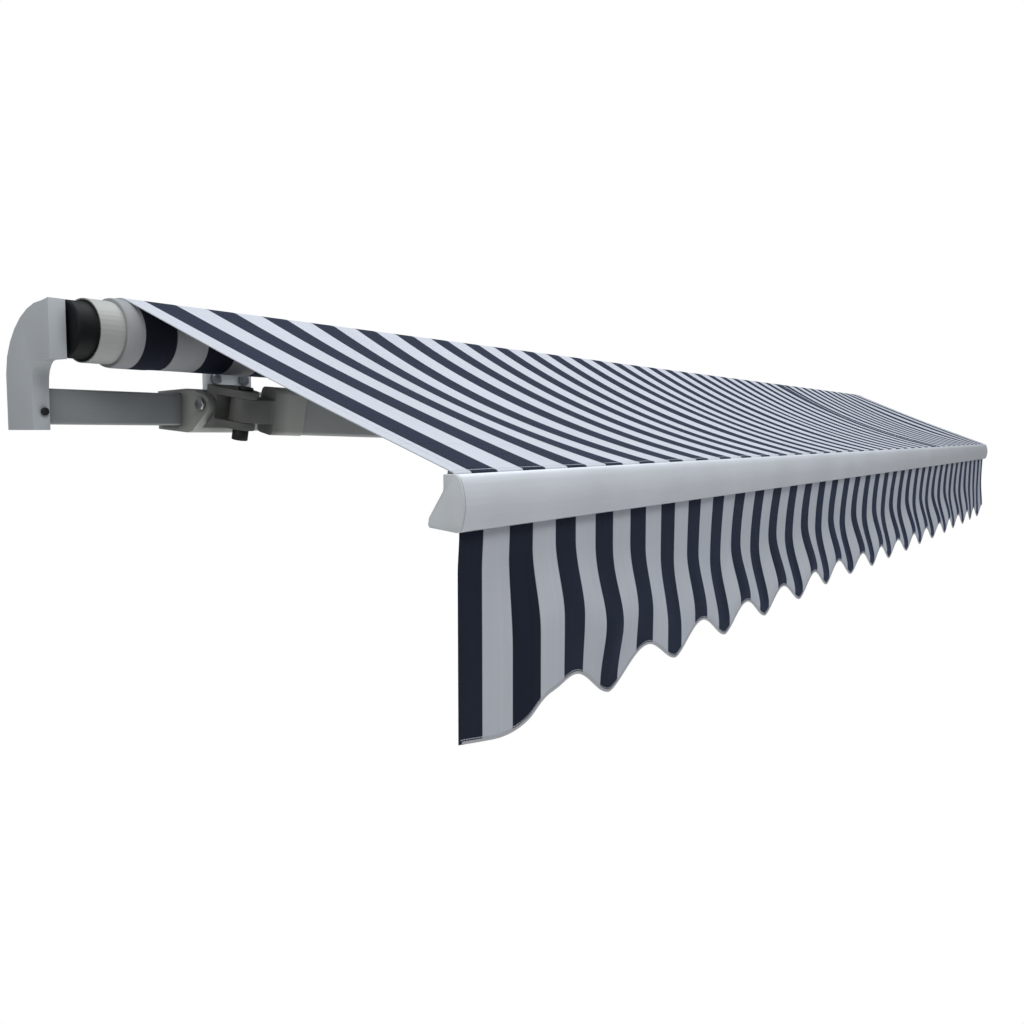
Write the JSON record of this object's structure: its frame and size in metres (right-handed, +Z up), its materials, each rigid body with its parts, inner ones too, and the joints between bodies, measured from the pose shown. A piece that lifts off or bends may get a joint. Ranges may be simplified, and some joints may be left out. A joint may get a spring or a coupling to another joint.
{
  "type": "retractable fabric awning",
  "caption": "Retractable patio awning with a striped fabric sheet on a roller, two folding arms, a front bar with a scalloped valance, and a square bar fixed to the wall.",
  "frame": {"origin": "on the wall plane at mid width, level with the middle of the square bar", "axes": "+X along the width, +Y into the wall, +Z up; the sheet comes out towards -Y"},
  "size_m": [3.52, 0.557, 0.4536],
  "materials": {
    "striped_fabric": "woven acrylic with navy and off-white stripes",
    "coated_bar": "grey powder coat, satin",
    "arm_coat": "grey powder coat on an extrusion",
    "front_silver": "silver powder coat, satin",
    "cast_grey": "light grey coated casting",
    "grey_plastic": "moulded, matte",
    "black_plastic": "moulded, matte",
    "steel": "zinc plated",
    "dark_steel": "blackened"
  },
  "bodies": {
    "wall_frame": {"square_bar": "coated_bar", "axle_pin": "steel", "gear_housing": "cast_grey", "gear_lid": "cast_grey", "bar_plug_left": "black_plastic", "bar_plug_right": "black_plastic", "end_bracket_left": "cast_grey", "end_bracket_right": "cast_grey", "bracket_screw_left": "dark_steel", "bracket_screw_right": "dark_steel", "wall_bracket_left": "cast_grey", "wall_bracket_right": "cast_grey", "arm_support_left": "cast_grey", "arm_support_right": "cast_grey", "pitch_bolt_left": "steel", "pitch_bolt_right": "steel", "shoulder_yoke_left": "cast_grey", "shoulder_yoke_right": "cast_grey", "shoulder_pin_left": "dark_steel", "shoulder_pin_right": "dark_steel", "wall_bolt_left_outer": "steel", "wall_bolt_left_inner": "steel", "wall_bolt_right_outer": "steel", "wall_bolt_right_inner": "steel"},
    "roller": {"roller_tube": "steel", "fabric_roll": "striped_fabric", "roller_cap_left": "black_plastic", "roller_cap_right": "black_plastic", "worm_wheel": "steel"},
    "crank": {"crank_worm": "dark_steel"},
    "upper_arm_left": {"arm_root_left": "cast_grey", "upper_arm_left": "arm_coat", "elbow_fork_left": "cast_grey", "elbow_pin_left": "dark_steel"},
    "forearm_left": {"elbow_eye_left": "cast_grey", "forearm_left": "arm_coat", "wrist_eye_left": "cast_grey"},
    "front_bar": {"front_bar": "front_silver", "front_cap_left": "grey_plastic", "front_cap_right": "grey_plastic", "canopy_keder": "black_plastic", "valance_keder": "black_plastic", "valance": "striped_fabric", "canopy_hem": "striped_fabric", "front_bracket_left": "cast_grey", "front_bracket_right": "cast_grey", "wrist_pin_left": "dark_steel", "wrist_pin_right": "dark_steel", "front_bracket_bolt_left": "steel", "front_bracket_bolt_right": "steel"},
    "upper_arm_right": {"arm_root_right": "cast_grey", "upper_arm_right": "arm_coat", "elbow_fork_right": "cast_grey", "elbow_pin_right": "dark_steel"},
    "forearm_right": {"elbow_eye_right": "cast_grey", "forearm_right": "arm_coat", "wrist_eye_right": "cast_grey"},
    "canopy": {"canopy": "striped_fabric"}
  },
  "joints": [
    {"name": "left_shoulder", "type": "hinge", "parent": "wall_frame", "child": "upper_arm_left", "pos_m": [-1.52, -0.115, 0], "axis": [0, 0.2079, -0.9781], "range_deg": [-6, 62]},
    {"name": "left_elbow", "type": "hinge", "parent": "upper_arm_left", "child": "forearm_left", "pos_m": [-0.28216, -0.28517, -0.03617], "axis": [0, 0.2079, -0.9781], "range_deg": [-124.5, 12.5]},
    {"name": "left_wrist", "type": "hinge", "parent": "forearm_left", "child": "front_bar", "pos_m": [-1.52, -0.45533, -0.07234], "axis": [0, 0.2079, -0.9781], "range_deg": [-6.5, 62.5]},
    {"name": "right_shoulder", "type": "hinge", "parent": "wall_frame", "child": "upper_arm_right", "pos_m": [1.52, -0.115, 0], "axis": [0, -0.2079, 0.9781], "range_deg": [-6.5, 62.5]},
    {"name": "right_elbow", "type": "hinge", "parent": "upper_arm_right", "child": "forearm_right", "pos_m": [0.28216, -0.28517, -0.03617], "axis": [0, -0.2079, 0.9781], "range_deg": [-124.5, 12.5]},
    {"name": "canopy_feed", "type": "slide", "parent": "wall_frame", "child": "canopy", "axis": [0, -0.9781, -0.2079], "range_m": [-0.196, 2.004], "deforming": ["canopy"]},
    {"name": "roller_spin", "type": "hinge", "parent": "wall_frame", "child": "roller", "pos_m": [0, -0.072, 0.0845], "axis": [1, 0, 0], "range_deg": [-295, 3030]},
    {"name": "crank_spin", "type": "hinge", "parent": "wall_frame", "child": "crank", "pos_m": [1.723, -0.0958, 0.019], "axis": [0, 0, 1], "range_deg": [-36400, 3540]}
  ],
  "couplings": [
    {"joint": "left_elbow", "follows": "left_shoulder", "ratio": -2},
    {"joint": "left_wrist", "follows": "left_shoulder", "ratio": 1},
    {"joint": "right_shoulder", "follows": "left_shoulder", "ratio": 1},
    {"joint": "right_elbow", "follows": "left_shoulder", "ratio": -2},
    {"joint": "canopy_feed", "follows": "left_shoulder", "m_per_rad": 1.8495},
    {"joint": "roller_spin", "follows": "left_shoulder", "ratio": 48.8},
    {"joint": "crank_spin", "follows": "left_shoulder", "ratio": -585.6}
  ]
}
